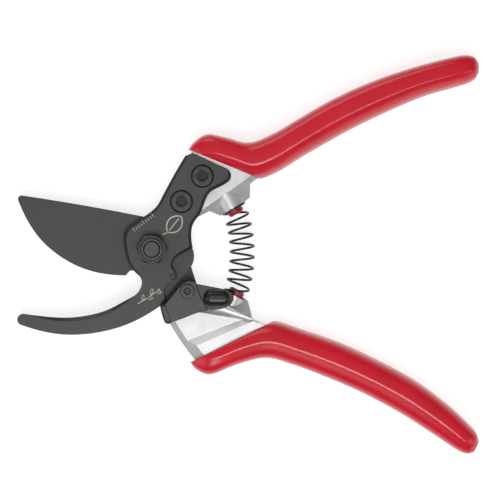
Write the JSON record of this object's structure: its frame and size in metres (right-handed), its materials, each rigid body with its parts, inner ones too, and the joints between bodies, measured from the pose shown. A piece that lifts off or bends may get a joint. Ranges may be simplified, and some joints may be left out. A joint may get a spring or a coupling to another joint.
{
  "type": "bypass pruning shears",
  "caption": "Bypass pruning shears with a curved cutting blade, a hooked counter-blade, a coil return spring, a thumb latch and red grips.",
  "frame": {"origin": "on the pivot axis, at the outer face of the pivot bolt's head, which the open tool rests on with both grips", "axes": "+Z along the pivot axis from the bolt head to the nut; +X towards the ends of the handles; +Y towards the handle that carries the hooked counter-blade; the tool is stored fully open"},
  "size_m": [0.2051, 0.1776, 0.0224],
  "materials": {
    "blade_steel": "dark grey low-friction coating, satin",
    "latch_steel": "dark grey coating, satin",
    "black_fastener": "black oxide, satin",
    "aluminium": "cast and blasted, satin",
    "red_grip": "glossy soft vinyl",
    "red_post": "moulded, semi-gloss",
    "black_plastic": "moulded, glossy",
    "grey_nylon": "matte",
    "spring_steel": "black, satin",
    "zinc_steel": "satin",
    "bronze": "satin"
  },
  "bodies": {
    "upper_handle": {"counter_blade": "blade_steel", "upper_handle_frame": "aluminium", "upper_grip": "red_grip", "counter_blade_screws": "black_fastener", "counter_blade_sleeve_nuts": "black_fastener", "upper_spring_post": "red_post", "pivot_bolt": "black_fastener", "pivot_washer": "zinc_steel", "pivot_nut": "black_fastener", "nut_lock_ring": "grey_nylon", "return_spring": "spring_steel"},
    "lower_handle": {"blade": "blade_steel", "blade_carrier": "blade_steel", "pivot_bush": "bronze", "lower_handle_frame": "aluminium", "lower_grip": "red_grip", "blade_screws": "black_fastener", "carrier_screws": "black_fastener", "lower_spring_post": "red_post", "latch_screw": "black_fastener", "latch_sleeve": "zinc_steel", "latch_washer": "grey_nylon"},
    "latch": {"latch_lever": "latch_steel", "latch_thumb_pad": "black_plastic"}
  },
  "joints": [
    {"name": "handle_pivot", "type": "hinge", "parent": "upper_handle", "child": "lower_handle", "pos_m": [0, 0, 0], "axis": [0, 0, 1], "range_deg": [0, 47], "stiffness_Nm_per_rad": 1, "springref_deg": -20.05, "deforming": ["return_spring"]},
    {"name": "latch_pivot", "type": "hinge", "parent": "lower_handle", "child": "latch", "pos_m": [0.0157, -0.0185, 0], "axis": [0, 0, 1], "range_deg": [-69, 0]}
  ]
}
